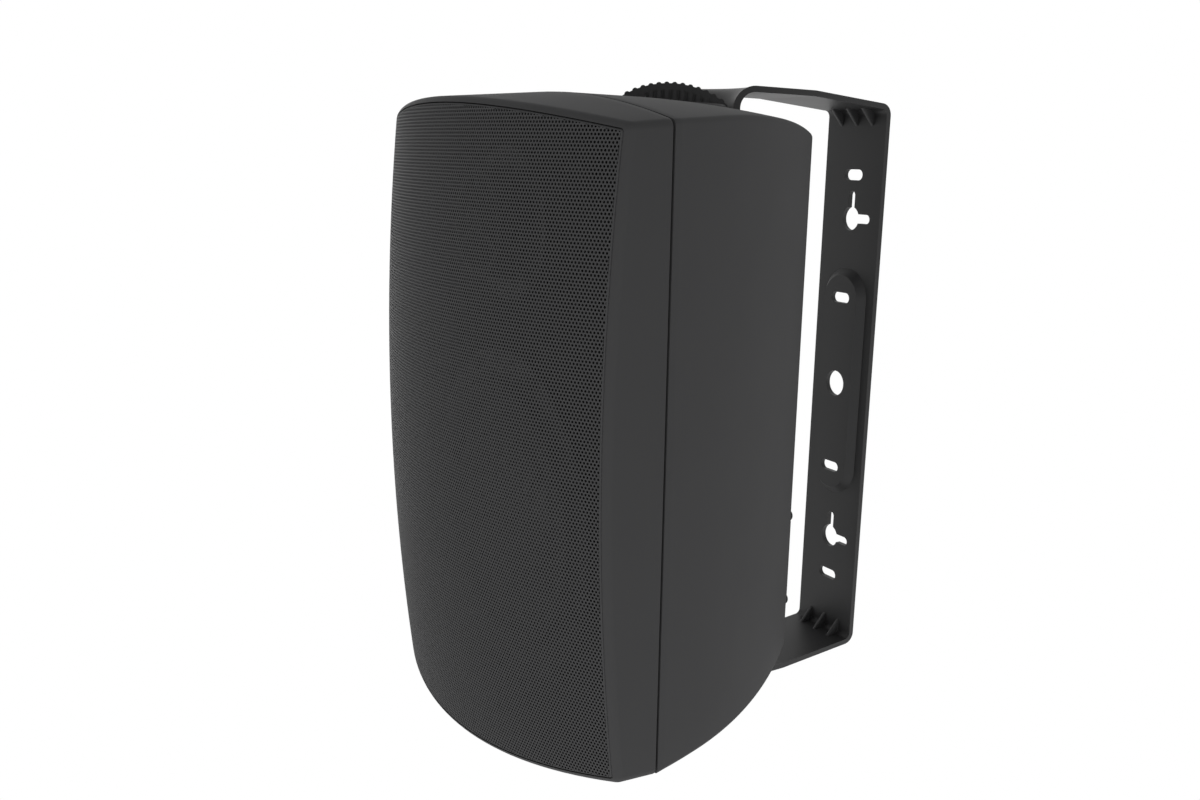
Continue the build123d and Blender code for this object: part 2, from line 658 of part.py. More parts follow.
def make_tweeter():
    z = tweeter_height
    plate = 4.0
    mouth = tweeter_dome + 9
    throat = tweeter_dome + 1.2
    bolts = tweeter_places(tweeter_bolt_radius)
    faceplate = driver_turned([
        (throat, 0), (tweeter_radius, 0), (tweeter_radius, 1 - plate), (tweeter_radius - 1, -plate),
        (mouth + 5, -plate), (mouth + 3, -tweeter_rise), (mouth, -tweeter_rise), (throat, 1 - plate)], z)
    faceplate -= [front_rod(driver_screw_shank + 4 * screw_clearance, x, y, baffle_y - plate - 1, baffle_y + 1)
                  for x, y in bolts]
    skin, rise = 0.6, 0.45 * tweeter_dome
    inner = tweeter_dome - skin
    dome = make_face(dome_arcs(tweeter_dome, rise, inner, 0, skin, [
        (tweeter_dome, 0), (mouth - 2, 0), (mouth - 2, 1), (tweeter_dome, 1), (tweeter_dome, 4), (inner, 4)]))
    gap_in, gap_out = inner - 0.5, tweeter_dome + 0.6
    can = mouth + 2
    magnet = driver_turned([
        (0, 1), (gap_in, 1), (gap_in, 6), (gap_out, 6), (gap_out, 1), (can, 1), (can, 5), (can - 2, 5),
        (can - 2, 17), (can, 17), (can, 21), (0, 21)], z)
    front = -tweeter_rise - 3
    diffuser = driver_disc(mouth + 3, mouth - 1, front, -tweeter_rise, z)
    diffuser += driver_turned([(0, front - 1), (5, front), (6, front + 2), (0, front + 8)], z)
    spoke = Pos(0, baffle_y + front + 1.5, mouth / 2) * Box(3, 3, mouth)
    diffuser += [Pos(0, 0, z) * Rot(0, angle, 0) * spoke for angle in (0, 120, 240)]
    save("tweeter_faceplate", faceplate)
    save("tweeter_dome", Pos(0, baffle_y, z) * revolve(Plane.XY * dome, Axis.Y))
    save("tweeter_diffuser", diffuser)
    save("tweeter_magnet", magnet)
    save("tweeter_screws", *[
        pan_screw(x, y, baffle_y - plate, driver_screw_shank, driver_screw_length) for x, y in bolts])


def make_crossover():
    front = -board_setback
    board = Pos(0, front + board_thickness / 2, board_height) * Box(board_width, board_thickness, board_length)
    board -= [front_rod(driver_screw_shank + screw_clearance, x, z, front - 1, front + board_thickness + 1)
              for x, z in board_screw_places]
    coil_x, coil_z = -board_width / 2 + coil_outer_radius + 3, board_height - board_length / 4
    bobbin = front_rod(coil_core_radius, coil_x, coil_z, front - coil_height, front)
    bobbin += front_rod(coil_outer_radius, coil_x, coil_z, front - 1.5, front)
    bobbin += front_rod(coil_outer_radius, coil_x, coil_z, front - coil_height, front - coil_height + 1.5)
    winding = front_rod(coil_outer_radius - 1, coil_x, coil_z, front - coil_height + 1.5, front - 1.5)
    winding -= front_rod(coil_core_radius, coil_x, coil_z, front - coil_height, front)
    capacitors = [
        Pos(x, front - capacitor_radius, board_height + z) * fillet(
            Cylinder(capacitor_radius, capacitor_length).edges(), 1.0)
        for x, z in ((coil_x, board_length / 6), (coil_x + 2 * capacitor_radius + 3, board_length / 6))]
    wide, long = resistor_size
    resistor = Pos(board_width / 2 - wide, front - wide / 2, board_height - board_length / 8) * Box(wide, wide, long)
    save("crossover_board", board)
    save("crossover_bobbin", bobbin)
    save("crossover_winding", winding)
    save("crossover_capacitors", *capacitors)
    save("crossover_resistor", fillet(resistor.edges().filter_by(Axis.Z), 1.0))
    save("crossover_screws", *[
        pan_screw(x, z, front, driver_screw_shank, driver_screw_length) for x, z in board_screw_places])


def cup_box(wide, deep, tall, y):
    """Box centred on the cup, reaching deep towards -Y from y."""
    return Pos(0, y, cup_height) * Box(wide, deep, tall, align=(Align.CENTER, Align.MAX, Align.CENTER))


def make_terminals():
    floor_front = cup_seat_y - cup_depth
    floor_back = floor_front - cup_wall
    fit = 0.15
    rim_front = cup_seat_y + cup_flange_thickness
    flange = cup_box(cup_width + 2 * cup_flange, cup_flange_thickness, cup_length + 2 * cup_flange, rim_front)
    flange = fillet(flange.edges().filter_by(Axis.Y), cup_flange)
    body = cup_box(cup_width - 2 * fit, cup_depth + cup_wall, cup_length - 2 * fit, cup_seat_y)
    body = fillet(body.edges().filter_by(Axis.Y), 1.5)
    inside = cup_box(cup_width - 2 * cup_wall, rim_front + 1 - floor_front, cup_length - 2 * cup_wall, rim_front + 1)
    cup = flange + body - fillet(inside.edges().filter_by(Axis.Y), 3.0)
    buttons, contacts = [], []
    button_z, contact_z = -cup_length / 5, cup_length / 4
    for x in (-button_spacing / 2, button_spacing / 2):
        hole = Box(button_width + 2 * button_clearance, 4 * cup_wall, button_length + 2 * button_clearance)
        cup -= Pos(x, floor_front, cup_height + button_z) * hole
        cup -= front_rod(wire_hole_dia / 2, x, cup_height + contact_z, floor_back - 1, floor_front + 1)
        cap = Pos(x, floor_front + button_stand, cup_height + button_z) * Box(
            button_width, button_stand + cup_wall, button_length, align=(Align.CENTER, Align.MAX, Align.CENTER))
        cap = fillet(cap.faces().sort_by(Axis.Y)[-1].edges(), 1.2)
        stop = Pos(x, floor_back, cup_height + button_z) * Box(
            button_width + 3, 1.6, button_length + 3, align=(Align.CENTER, Align.MAX, Align.CENTER))
        stem = front_rod(1.5, x, cup_height + button_z, floor_back - button_stem, floor_back)
        buttons.append(cap + stop + stem)
        foot = Pos(x, floor_back, cup_height + contact_z) * Box(
            7, 0.8, 10, align=(Align.CENTER, Align.MAX, Align.CENTER))
        tag = Pos(x, floor_back, cup_height + contact_z + 4.6) * Box(
            5, 12, 0.8, align=(Align.CENTER, Align.MAX, Align.CENTER))
        contacts.append(foot + tag)
    cup -= [front_rod(driver_screw_shank + screw_clearance, x, z, cup_seat_y - 1, rim_front + 1)
            for x, z in cup_screw_places]
    screws = [mirror(pan_screw(x, z, -rim_front, driver_screw_shank, driver_screw_length), Plane.XZ)
              for x, z in cup_screw_places]
    save("terminal_cup", cup)
    save("negative_button", buttons[0])
    save("positive_button", buttons[1])
    save("terminal_contacts", *contacts)
    save("terminal_screws", *screws)


save("bracket", make_bracket())
save("rear_housing", make_rear_housing())
save("front_bezel", make_front_bezel())
save("front_grille", make_front_grille())
save("cabinet_gasket", seam_ring(1.2, wall - 0.2, housing_front, bezel_back))
save("case_screws", *[
    pan_screw(x, z, baffle_y, case_screw_shank, baffle_setback - seam_setback + 0.7 * case_boss_depth)
    for x, z in case_screw_places])
for piece, solid in make_clamp().items():
    save("upper_" + piece, solid)
    save("lower_" + piece, mirror_down(solid))
make_woofer()
make_tweeter()
make_crossover()
make_terminals()
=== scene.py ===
import json
import math
from contextlib import contextmanager

import bmesh
import bpy
import numpy as np
from mathutils import Matrix, Vector


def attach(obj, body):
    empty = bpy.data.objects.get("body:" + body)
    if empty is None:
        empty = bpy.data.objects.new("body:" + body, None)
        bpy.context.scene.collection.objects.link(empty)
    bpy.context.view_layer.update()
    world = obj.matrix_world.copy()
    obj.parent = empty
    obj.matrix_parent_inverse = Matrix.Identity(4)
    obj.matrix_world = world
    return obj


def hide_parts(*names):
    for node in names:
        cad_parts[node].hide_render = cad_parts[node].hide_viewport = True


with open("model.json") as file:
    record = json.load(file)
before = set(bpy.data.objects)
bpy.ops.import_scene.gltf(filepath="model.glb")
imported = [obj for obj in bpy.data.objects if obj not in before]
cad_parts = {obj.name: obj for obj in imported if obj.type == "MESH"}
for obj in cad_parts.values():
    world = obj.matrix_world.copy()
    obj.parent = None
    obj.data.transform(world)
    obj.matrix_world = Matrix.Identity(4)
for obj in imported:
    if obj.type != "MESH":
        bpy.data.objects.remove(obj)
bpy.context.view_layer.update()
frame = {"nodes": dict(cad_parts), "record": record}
scene = bpy.context.scene
scene.view_settings.view_transform = "Standard"
mm = 0.001  # the pieces' sizes below are in mm, the camera's and the studio's in metres
print("frame loaded:", len(frame["nodes"]), "nodes")


class Wire:
    # one output socket, used in sums as if it were a number
    def __init__(self, tree, socket=None):
        self.tree = tree
        self.socket = socket

    def node(self, kind, settings=None, inputs=None, output=0):
        made = self.tree.nodes.new(kind)
        for key, value in (settings or {}).items():
            setattr(made, key, value)
        for key, value in (inputs or {}).items():
            if isinstance(value, Wire):
                value.into(made.inputs[key])
            else:
                made.inputs[key].default_value = value
        return Wire(self.tree, made.outputs[output])

    def beside(self, output):
        # another output of the same node
        return Wire(self.tree, self.socket.node.outputs[output])

    def into(self, target):
        self.tree.links.new(self.socket, target)

    def sums(self, operation, first, second=0.0):
        return self.node("ShaderNodeMath", {"operation": operation}, {0: first, 1: second})

    def __add__(self, other):
        return self.sums("ADD", self, other)

    def __radd__(self, other):
        return self.sums("ADD", other, self)

    def __sub__(self, other):
        return self.sums("SUBTRACT", self, other)

    def __rsub__(self, other):
        return self.sums("SUBTRACT", other, self)

    def __mul__(self, other):
        return self.sums("MULTIPLY", self, other)

    def __rmul__(self, other):
        return self.sums("MULTIPLY", other, self)

    def __truediv__(self, other):
        return self.sums("DIVIDE", self, other)

    def __neg__(self):
        return self.sums("MULTIPLY", self, -1.0)


coating = {
    "blue": 1.02,  # the greys lean a little to blue
    "grainDetail": 2.0, "grainRoughness": 0.6, "grainHeight": 0.05,
    "cloudScale": 30.0, "cloudDetail": 4.0, "cloudMiddle": 0.5,
}


def grey(level):
    return (level, level, level * coating["blue"], 1.0)


def finish(name, colour, roughness, metallic=0.0, grain=0.0, grainSize=0.6, uneven=0.0, gloss=0.5):
    # a plain finish, with a fine moulded or powder-coated grain and an uneven sheen where they are asked for
    made = bpy.data.materials.new(name)
    made.use_nodes = True
    made.diffuse_color = colour
    shader = made.node_tree.nodes["Principled BSDF"]
    for label, value in (("Base Color", colour), ("Roughness", roughness), ("Metallic", metallic),
                         ("Specular IOR Level", gloss)):
        shader.inputs[label].default_value = value
    if not (grain or uneven):
        return made
    net = Wire(made.node_tree)
    place = net.node("ShaderNodeTexCoord", output="Object")
    if grain:
        speckle = net.node("ShaderNodeTexNoise", None, {
            "Vector": place, "Scale": 1 / (grainSize * mm),
            "Detail": coating["grainDetail"], "Roughness": coating["grainRoughness"]})
        bump = net.node("ShaderNodeBump", None, {
            "Height": speckle, "Strength": grain, "Distance": coating["grainHeight"] * mm})
        bump.into(shader.inputs["Normal"])
    if uneven:
        cloud = net.node("ShaderNodeTexNoise", None, {
            "Vector": place, "Scale": coating["cloudScale"], "Detail": coating["cloudDetail"]})
        sheen = roughness + uneven * (cloud - coating["cloudMiddle"])
        sheen.into(shader.inputs["Roughness"])
    return made


finishes = {
    "cabinet_plastic": finish("charcoalMoulding", grey(0.042), 0.72, grain=0.35, grainSize=0.5, uneven=0.06,
                              gloss=0.15),
    "bracket_steel": finish("bracketPowderCoat", grey(0.026), 0.45, grain=0.35, grainSize=0.7, uneven=0.06,
                            gloss=0.2),
    "grille_steel": finish("grillePowderCoat", grey(0.050), 0.72, gloss=0.15),
    "seal_rubber": finish("blackSeal", grey(0.008), 0.8),
    "plated_steel": finish("zincPlate", (0.52, 0.52, 0.53, 1), 0.34, metallic=1.0, uneven=0.15),
    "basket_steel": finish("basketEnamel", grey(0.014), 0.4),
    "surround_rubber": finish("surroundRubber", grey(0.010), 0.55),
    "cone_plastic": finish("conePlastic", grey(0.022), 0.4),
    "copper": finish("coilCopper", (0.55, 0.25, 0.12, 1), 0.3, metallic=1.0),
    "spider_cloth": finish("spiderCloth", (0.42, 0.27, 0.10, 1), 0.8),
    "ferrite": finish("ferrite", grey(0.03), 0.6, uneven=0.1),
    "driver_plastic": finish("driverPlastic", grey(0.014), 0.42, grain=0.2),
    # painted highlight: the dome's pale grey stands in for the highlights seen on the tweeter through the
    # grille
    "dome_cloth": finish("domeCloth", grey(0.75), 0.6),
    "board_laminate": finish("boardLaminate", (0.02, 0.11, 0.05, 1), 0.4),
    "capacitor_sleeve": finish("capacitorSleeve", (0.02, 0.03, 0.08, 1), 0.3),
    "resistor_body": finish("resistorCeramic", (0.62, 0.60, 0.55, 1), 0.7),
    "contact_brass": finish("contactBrass", (0.62, 0.44, 0.17, 1), 0.3, metallic=1.0),
    "red_plastic": finish("redButton", (0.42, 0.012, 0.012, 1), 0.3),
    "black_plastic": finish("blackButton", grey(0.012), 0.3),
    "knob_plastic": finish("knobMoulding", grey(0.042), 0.65, grain=0.25, grainSize=0.5, gloss=0.15),
}
# painted shade: these zinc-plated screws get a near-black colour in place of their bright plating, standing
# in for the shade they sit in
blackenedScrew = finish("blackenedScrew", grey(0.02), 0.5, metallic=1.0)
# painted shade: the baffle, part of the bezel's charcoal moulding, is painted near black for the shade behind
# the grille
baffleBlack = finish("baffleBlack", grey(0.006), 0.85, gloss=0.2)
darkScrews = ("case_screws", "terminal_screws", "tweeter_screws", "woofer_screws")
slotOf = {part["node"]: part["material_slot"] for part in frame["record"]["subparts"]}
bodyOf = {node: body for body, nodes in frame["record"]["behaviour"]["bodies"].items() for node in nodes}


def finishFor(node):
    return blackenedScrew if node in darkScrews else finishes[slotOf[node]]


def paint(made, coat):
    made.data.materials.clear()
    made.data.materials.append(coat)


for nodeName, nodeObject in frame["nodes"].items():
    paint(nodeObject, finishFor(nodeName))
print("finishes made and set on the CAD nodes:", len(finishes))

shading = {"crispAngle": 35, "weld": 2e-6, "sliver": 1e-7}  # degrees, metres, metres


@contextmanager
def editing(made):
    # the object's mesh, open for edits that are written back at the end
    shape = bmesh.new()
    shape.from_mesh(made.data)
    yield shape
    shape.to_mesh(made.data)
    shape.free()


def softShade(made, angle=shading["crispAngle"]):
    # smooth shading, with the edges sharper than the angle kept crisp
    with editing(made) as shape:
        bmesh.ops.remove_doubles(shape, verts=shape.verts, dist=shading["weld"])
        bmesh.ops.dissolve_degenerate(shape, edges=shape.edges, dist=shading["sliver"])
        for edge in shape.edges:
            edge.smooth = len(edge.link_faces) == 2 and edge.calc_face_angle(0) < math.radians(angle)
        for face in shape.faces:
            face.smooth = True


def meshObject(name, verts, faces):
    data = bpy.data.meshes.new(name)
    data.from_pydata([tuple(v) for v in verts], [], faces)
    made = bpy.data.objects.new(name, data)
    scene.collection.objects.link(made)
    softShade(made)
    return made


def dress(made, node):
    # the finish, body and replaced node of a new piece
    paint(made, finishFor(node))
    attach(made, bodyOf[node])
    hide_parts(node)
    return made


def softCopy(node):
    # a CAD node's own shape with its loose triangles joined and shaded softly
    made = frame["nodes"][node].copy()
    made.data = made.data.copy()
    made.name = node + "Soft"
    made.data.name = made.name
    scene.collection.objects.link(made)
    made.parent = None
    for key in list(made.keys()):
        if key.startswith("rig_"):
            del made[key]
    softShade(made)
    return dress(made, node)


def keepResult(made, modifier):
    # the modifier's result becomes the object's plain mesh
    bpy.context.view_layer.update()
    plain = bpy.data.meshes.new_from_object(made.evaluated_get(bpy.context.evaluated_depsgraph_get()))
    made.modifiers.remove(modifier)
    made.data = plain


def cut(made, tool):
    changed = made.modifiers.new("cut", "BOOLEAN")
    changed.operation, changed.object, changed.solver = "DIFFERENCE", tool, "EXACT"
    keepResult(made, changed)
    bpy.data.objects.remove(tool)


borer = {"sides": 96, "length": 60.0}


def bore(made, radius, place, rotation=(0, 0, 0)):
    # a round hole about a place, along Z unless it is turned
    bpy.ops.mesh.primitive_cylinder_add(
        vertices=borer["sides"], radius=radius * mm, depth=borer["length"] * mm,
        location=[value * mm for value in place], rotation=rotation)
    cut(made, bpy.context.object)


def cutBox(made, size, place):
    bpy.ops.mesh.primitive_cube_add(size=1, location=[value * mm for value in place])
    box = bpy.context.object
    box.scale = Vector(size) * mm
    bpy.context.view_layer.update()
    box.data.transform(box.matrix_world)
    box.matrix_world = Matrix.Identity(4)
    cut(made, box)


def arcPoint(centre, radius, turn):
    return centre[0] + radius * math.cos(turn), centre[1] + radius * math.sin(turn)


def quarterTurns(count):
    return [math.pi / 2 * i / count for i in range(count + 1)]


# what the rear housing and the bezel share: the seam between them and the crowned cross-section
outline = {
    "seamY": -206.0, "seamGap": 1.0, "seamHalf": 115.5, "top": 155.0, "crown": 488.0,
    "sideEnd": 0.3, "cornerEnd": 0.6,  # where the side and the corner end on a quarter ring that runs 0 to 1
    "sideSteps": 10, "cornerSteps": 8, "topSteps": 18,
    "lip": ((3.2, 0.0), (0.5, 0.0), (0.15, 0.08)),  # inset, and distance from the seam's edge
    "lipEnd": 0.4,
}
crownZ = outline["top"] - outline["crown"]
lipDepth = outline["lip"][0][0]


def ringPoint(step, half, top, edge):
    # a point of the cabinet's cross-section: step runs 0 to 1 from mid side to mid top
    sideEnd, cornerEnd = outline["sideEnd"], outline["cornerEnd"]
    crownRadius = top - crownZ
    cornerX = half - edge
    cornerZ = crownZ + math.sqrt((crownRadius - edge) ** 2 - cornerX ** 2)
    if step <= sideEnd:
        return half, cornerZ * step / sideEnd
    if step <= cornerEnd:
        fullTurn = math.atan2(cornerZ - crownZ, cornerX)
        return arcPoint((cornerX, cornerZ), edge, fullTurn * (step - sideEnd) / (cornerEnd - sideEnd))
    tangentX = cornerX * crownRadius / (crownRadius - edge)
    x = tangentX * (1 - step) / (1 - cornerEnd)
    return x, crownZ + math.sqrt(crownRadius ** 2 - x * x)


def evenSteps(start, end, count):
    return [start + (end - start) * i / count for i in range(count)]


ringSteps = [*evenSteps(0.0, outline["sideEnd"], outline["sideSteps"]),
             *evenSteps(outline["sideEnd"], outline["cornerEnd"], outline["cornerSteps"]),
             *evenSteps(outline["cornerEnd"], 1.0, outline["topSteps"]), 1.0]


def wholeRing(quarter):
    # four mirrored quarters from one, closed and without doubled ends
    ring = list(quarter)
    ring += [(-x, y, z) for x, y, z in quarter[-2::-1]]
    ring += [(-x, y, -z) for x, y, z in quarter[1:]]
    ring += [(x, y, -z) for x, y, z in quarter[-2:0:-1]]
    return ring


def ringSkin(name, rings, capStart=False, capEnd=False):
    verts = [Vector(p) * mm for ring in rings for p in ring]
    count = len(rings[0])
    faces = []
    for row in range(len(rings) - 1):
        near, far = row * count, (row + 1) * count
        for i in range(count):
            j = (i + 1) % count
            faces.append((near + i, near + j, far + j, far + i))
    if capStart:
        faces.append(tuple(range(count))[::-1])
    if capEnd:
        faces.append(tuple((len(rings) - 1) * count + i for i in range(count)))
    return meshObject(name, verts, faces)


housingShape = {
    "sideRadius": 419.0, "sideAngle": 18.5, "sideRows": 28,
    "backY": -58.4, "backCorner": 34.0, "cornerRows": 22, "backEdge": 6.0,
    "flatY": -174.4, "fallRadius": 466.0,  # the top is level up to flatY, then falls away
    "edgeAtSeam": 3.0, "edgeAtBack": 2.5, "lipTaper": 0.15, "planStart": 1.5,
    "clampY": -131.0, "pocketRadius": 38.0, "pocketFloor": 144.0,
    "cup": (34.0, 30.0, 44.0), "cupZ": -95.0, "crispAngle": 30,
}


def housingPlan():
    # half-widths and places along the plan's side arc and back corner
    shape = housingShape
    start = math.radians(shape["sideAngle"])
    sideX, sideY = arcPoint((outline["seamHalf"], outline["seamY"]), -shape["sideRadius"], start)
    cornerY = shape["backY"] - shape["backCorner"]
    cornerX = sideX + math.sqrt((shape["sideRadius"] - shape["backCorner"]) ** 2 - (cornerY - sideY) ** 2)
    meet = math.atan2(cornerY - sideY, cornerX - sideX)
    places = []
    for i in range(shape["sideRows"] + 1):
        turn = start + (meet - start) * i / shape["sideRows"]
        places.append(arcPoint((sideX, sideY), shape["sideRadius"], turn))
    for eased in quarterTurns(shape["cornerRows"])[1:]:
        turn = meet + (math.pi / 2 - meet) * math.sin(eased)
        places.append(arcPoint((cornerX, cornerY), shape["backCorner"], turn))
    return places


def housingTop(y):
    # the crest's height: level, then falling away, then round at the back
    fallRadius, backEdge, flatY = (housingShape[key] for key in ("fallRadius", "backEdge", "flatY"))
    fallZ = outline["top"] - fallRadius
    backCentreY = housingShape["backY"] - backEdge
    backCentreZ = fallZ + math.sqrt((fallRadius - backEdge) ** 2 - (backCentreY - flatY) ** 2)
    tangentY = flatY + (backCentreY - flatY) * fallRadius / (fallRadius - backEdge)
    if y <= flatY:
        return outline["top"]
    if y <= tangentY:
        return fallZ + math.sqrt(fallRadius ** 2 - (y - flatY) ** 2)
    return backCentreZ + math.sqrt(max(backEdge ** 2 - (y - backCentreY) ** 2, 0))


def housingRow(half, y, inset=0.0):
    shape = housingShape
    share = min(max((y - outline["seamY"]) / (shape["backY"] - outline["seamY"]), 0), 1)
    edge = shape["edgeAtSeam"] + (shape["edgeAtBack"] - shape["edgeAtSeam"]) * share
    quarter = [ringPoint(step, half - inset, housingTop(y) - inset, edge) for step in ringSteps]
    return wholeRing([(x, y, z) for x, z in quarter])


def buildHousing():
    shape = housingShape
    plan = housingPlan()
    lipY = outline["seamY"] + outline["seamGap"] / 2
    first = plan[0][0]
    rows = [housingRow(first, lipY + away, inset) for inset, away in outline["lip"]]
    rows.append(housingRow(first - shape["lipTaper"], lipY + outline["lipEnd"]))
    rows += [housingRow(half, y) for half, y in plan if y > lipY + shape["planStart"]]
    made = ringSkin("rearShell", rows, capEnd=True)
    pocketZ = shape["pocketFloor"] + borer["length"] / 2
    for side in (1, -1):
        bore(made, shape["pocketRadius"], (0, shape["clampY"], side * pocketZ))
    cutBox(made, shape["cup"], (0, shape["backY"], shape["cupZ"]))
    softShade(made, shape["crispAngle"])
    return made


dress(buildHousing(), "rear_housing")
print("rear housing built")

frontShape = {
    "frontY": -265.95, "radius": 236.2, "bulge": 1341.0, "half": 118.5, "drop": 5.5,
    "edge": 4.0, "leastEdge": 0.8, "sideShares": (0.12, 0.3, 0.5, 0.7, 0.85, 0.95),
    "rim": 2.4, "rimRadius": 3.0, "rimRows": 8, "rimSoft": 0.05, "rimDepths": (0.1, 0.3),
    "rounds": 12,  # tries that settle where the outline meets the curved front
}
frontAxisY = frontShape["frontY"] + frontShape["radius"]
baffleShape = {"front": -218.0, "thickness": 6.0, "crispAngle": 30,
               "cutouts": ((-48.0, 72.0), (95.0, 27.0))}  # height and radius for the woofer, then the tweeter


def bezelPoint(step, inset, y):
    along = (outline["seamY"] - y) / (outline["seamY"] - frontShape["frontY"])
    half = outline["seamHalf"] + (frontShape["half"] - outline["seamHalf"]) * along - inset
    top = outline["top"] - frontShape["drop"] * along - inset
    return ringPoint(step, half, top, max(frontShape["edge"] - inset, frontShape["leastEdge"]))


def frontPoint(step, inset, depth):
    # a point of the bezel's outline, drawn in by inset, where it meets the curved front at that depth
    bulge = frontShape["bulge"]
    y = outline["seamY"]
    for _ in range(frontShape["rounds"]):
        x, z = bezelPoint(step, inset, y)
        reach = frontShape["radius"] - bulge + math.sqrt((bulge - depth) ** 2 - z * z)
        y = frontAxisY - math.sqrt(reach ** 2 - x * x)
    return x, y, z


def frontRing(inset, depth):
    return wholeRing([frontPoint(step, inset, depth) for step in ringSteps])


def levelRing(inset, y):
    return wholeRing([(x, y, z) for x, z in (bezelPoint(step, inset, y) for step in ringSteps)])


def buildBezel():
    shape = frontShape
    backY = outline["seamY"] - outline["seamGap"] / 2
    sideY = backY - outline["lipEnd"]
    rows = [levelRing(inset, backY - away) for inset, away in outline["lip"]]
    rows.append(levelRing(0, sideY))
    rimStart = [frontPoint(step, 0, shape["rimRadius"]) for step in ringSteps]
    for share in shape["sideShares"]:
        quarter = []
        for step, (_, rimY, _) in zip(ringSteps, rimStart):
            y = sideY + (rimY - sideY) * share
            x, z = bezelPoint(step, 0, y)
            quarter.append((x, y, z))
        rows.append(wholeRing(quarter))
    softInset = shape["rim"] - shape["rimSoft"]
    for turn in quarterTurns(shape["rimRows"]):
        inset = shape["rimRadius"] * (1 - math.cos(turn))
        if inset < softInset:
            rows.append(frontRing(inset, shape["rimRadius"] * (1 - math.sin(turn))))
    rows += [frontRing(inset, depth) for inset, depth in zip((softInset, shape["rim"]), shape["rimDepths"])]
    baffleY = baffleShape["front"]
    rows += [levelRing(shape["rim"], baffleY), levelRing(lipDepth, baffleY), rows[0]]
    return ringSkin("bezelShell", rows)


def buildBaffle():
    # the board behind the grille that carries both drivers
    front = baffleShape["front"]
    rings = [levelRing(lipDepth, y) for y in (front, front + baffleShape["thickness"])]
    board = ringSkin("baffleBoard", rings, capStart=True, capEnd=True)
    for height, radius in baffleShape["cutouts"]:
        bore(board, radius, (0, front, height), (math.pi / 2, 0, 0))
    softShade(board, baffleShape["crispAngle"])
    return board


dress(buildBezel(), "front_bezel")
baffle = dress(buildBaffle(), "front_bezel")
# the baffle takes the near-black painted shade
baffle.data.materials[0] = baffleBlack
print("bezel and baffle built")


def nodeGroup(name, values):
    # a Geometry Nodes tree with a named input for each value, and a wire from each
    tree = bpy.data.node_groups.new(name, "GeometryNodeTree")
    tree.interface.new_socket("Geometry", in_out="OUTPUT", socket_type="NodeSocketGeometry")
    kinds = {float: "NodeSocketFloat", int: "NodeSocketInt", bpy.types.Object: "NodeSocketObject",
             bpy.types.Material: "NodeSocketMaterial"}
    for label, value in values.items():
        tree.interface.new_socket(label, in_out="INPUT", socket_type=kinds[type(value)])
    entry = tree.nodes.new("NodeGroupInput")
    return tree, {label: Wire(tree, entry.outputs[label]) for label in values}


def runGroup(name, result, wires, values):
    # ends the tree with realised, painted instances and returns them as a plain mesh object
    tree = result.tree
    real = result.node("GeometryNodeRealizeInstances", None, {"Geometry": result})
    painted = result.node("GeometryNodeSetMaterial", None, {"Geometry": real, "Material": wires["Finish"]})
    painted.into(tree.nodes.new("NodeGroupOutput").inputs["Geometry"])
    made = bpy.data.objects.new(name, bpy.data.meshes.new(name))
    modifier = made.modifiers.new("build", "NODES")
    modifier.node_group = tree
    for item in tree.interface.items_tree:
        if item.in_out == "INPUT":
            modifier[item.identifier] = values[item.name]
    scene.collection.objects.link(made)
    keepResult(made, modifier)
    made.data.name = name
    return made


grilleShape = {
    "inset": 2.8, "recess": 0.1, "fold": 0.6, "foldRows": 5, "lip": 8.0, "lipSheet": 1.0, "lipStart": 1.2,
    "pitch": 1.71, "holeWidth": 1.24, "sheet": 0.5, "columns": 151, "rows": 211,
    "spill": 0.3,  # share of the pitch by which a cell's middle may pass the outline before it is left out
    "splitAt": -0.01,  # the quarters part just beside the middle column and row
    "weld": 0.02,
    "quarters": (("grilleFieldUpperRight", 1.0, 1.0), ("grilleFieldUpperLeft", -1.0, 1.0),
                 ("grilleFieldLowerRight", 1.0, -1.0), ("grilleFieldLowerLeft", -1.0, -1.0)),
}
grilleRadius = frontShape["radius"] - grilleShape["recess"]


def outlineFits():
    # the perforated field's edges as short power series, in mm over the unrolled front
    inset = grilleShape["inset"] + grilleShape["fold"]
    points = [frontPoint(step, inset, grilleShape["recess"]) for step in ringSteps]
    flat = [(grilleRadius * math.atan2(x, frontAxisY - y), z) for x, y, z in points]
    sides = np.array([p for step, p in zip(ringSteps, flat) if step <= outline["sideEnd"]])
    tops = np.array([p for step, p in zip(ringSteps, flat) if step >= outline["cornerEnd"]])
    sideFit = np.polyfit(sides[:, 1] ** 2, sides[:, 0], 1)
    topFit = np.polyfit(tops[:, 0] ** 2, tops[:, 1], 2)
    return sideFit, topFit


def holedCell(net, wires):
    # one six-sided cell: a flat ring round the hole, then the hole's wall
    cellRadius = wires["Pitch"] / math.sqrt(3)
    cell = net.node("GeometryNodeMeshCircle", {"fill_type": "NGON"}, {"Vertices": 6, "Radius": cellRadius})
    cell = net.node("GeometryNodeTransform", None, {"Geometry": cell, "Rotation": (0, 0, math.pi / 6)})
    ring = net.node("GeometryNodeExtrudeMesh", {"mode": "FACES"}, {"Mesh": cell, "Offset Scale": 0.0}, "Mesh")
    hole = ring.beside("Top")
    holed = net.node("GeometryNodeScaleElements", {"domain": "FACE"}, {
        "Geometry": ring, "Selection": hole, "Scale": wires["Hole width"] / 2 / cellRadius})
    wall = net.node("GeometryNodeExtrudeMesh", {"mode": "FACES"}, {
        "Mesh": holed, "Selection": hole, "Offset Scale": -wires["Sheet"]}, "Mesh")
    return net.node("GeometryNodeDeleteGeometry", {"domain": "FACE"}, {
        "Geometry": wall, "Selection": wall.beside("Top")})


